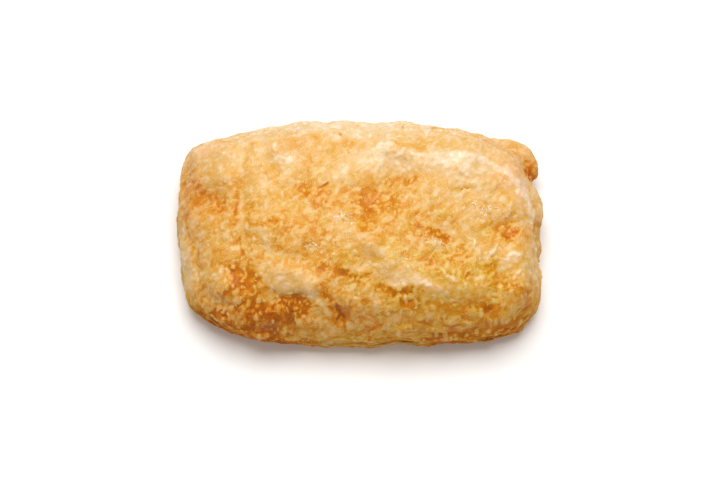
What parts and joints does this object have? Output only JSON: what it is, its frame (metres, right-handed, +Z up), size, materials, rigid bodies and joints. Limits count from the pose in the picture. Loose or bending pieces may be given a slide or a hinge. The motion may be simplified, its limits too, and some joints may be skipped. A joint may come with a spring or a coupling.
{
  "type": "salmon en croute",
  "caption": "Baked puff pastry parcel, oblong with rounded shoulders, layered walls, a blistered glazed top and a fold of dough at one back corner.",
  "frame": {"origin": "middle of the flat base, at the lowest point", "axes": "+X along the parcel's length, towards the end with the fold of dough; +Y from the front wall to the back wall; +Z up"},
  "size_m": [0.1622, 0.101, 0.0469],
  "materials": {
    "crust": "baked puff pastry, golden with browned hollows and pale blisters, thin egg glaze with a low gloss"
  },
  "bodies": {
    "root": {"pastry_parcel": "crust"}
  },
  "joints": []
}
